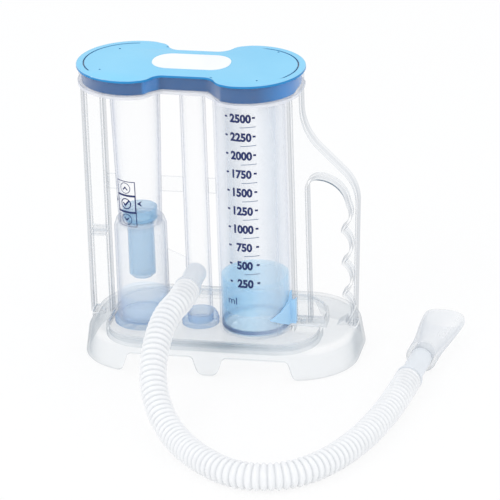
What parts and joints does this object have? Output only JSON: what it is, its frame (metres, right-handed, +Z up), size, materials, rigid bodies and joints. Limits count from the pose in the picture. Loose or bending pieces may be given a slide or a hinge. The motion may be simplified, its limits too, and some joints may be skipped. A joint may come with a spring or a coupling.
{
  "type": "incentive spirometer",
  "caption": "Hand-held breathing exerciser: clear housing with a flow cup, a volume piston under a scale, a goal pointer, a finger-grip handle, and a breathing hose with mouthpiece.",
  "frame": {"origin": "on the floor under the middle of the device, the hose and mouthpiece left out", "axes": "+Z up, +X from the flow tube towards the handle, -Y towards the user, where the hose port and the scale face"},
  "size_m": [0.288, 0.3132, 0.2308],
  "materials": {
    "clear_plastic": "clear polished",
    "blue_lid": "satin translucent blue",
    "blue_float": "translucent light blue",
    "blue_cap": "translucent blue",
    "blue_pointer": "satin",
    "seal_rubber": "matte",
    "filter_foam": "open foam",
    "label": "bare white sticker",
    "hose_plastic": "milky corrugated plastic",
    "cuff_plastic": "soft satin",
    "mouthpiece_plastic": "smooth white"
  },
  "bodies": {
    "housing": {"base_tray": "clear_plastic", "upper_rim": "clear_plastic", "lid_cover": "blue_lid", "lid_label": "label", "volume_cylinder": "clear_plastic", "cylinder_floor": "clear_plastic", "flow_tube": "clear_plastic", "flow_chamber": "clear_plastic", "flow_seat": "clear_plastic", "flow_chamber_cap": "blue_cap", "inlet_filter": "filter_foam", "breathing_tube": "clear_plastic", "breathing_tube_cap": "blue_cap", "web_support_flow": "clear_plastic", "web_flow_breathing": "clear_plastic", "web_breathing_volume": "clear_plastic", "lower_web": "clear_plastic", "side_support": "clear_plastic", "handle_frame": "clear_plastic", "hose_cuff": "cuff_plastic", "hose": "hose_plastic", "mouth_cuff": "cuff_plastic", "mouthpiece": "mouthpiece_plastic"},
    "volume_float": {"volume_piston": "blue_float", "piston_seal": "seal_rubber"},
    "flow_float": {"flow_cup": "blue_float"},
    "goal_pointer": {"pointer_slider": "blue_pointer"}
  },
  "joints": [
    {"name": "volume_rise", "type": "slide", "parent": "housing", "child": "volume_float", "axis": [0, 0, 1], "range_m": [0, 0.1538]},
    {"name": "flow_rise", "type": "slide", "parent": "housing", "child": "flow_float", "axis": [0, 0, 1], "range_m": [0, 0.1034]},
    {"name": "pointer_slide", "type": "slide", "parent": "housing", "child": "goal_pointer", "axis": [0, 0, 1], "range_m": [0, 0.16]}
  ]
}
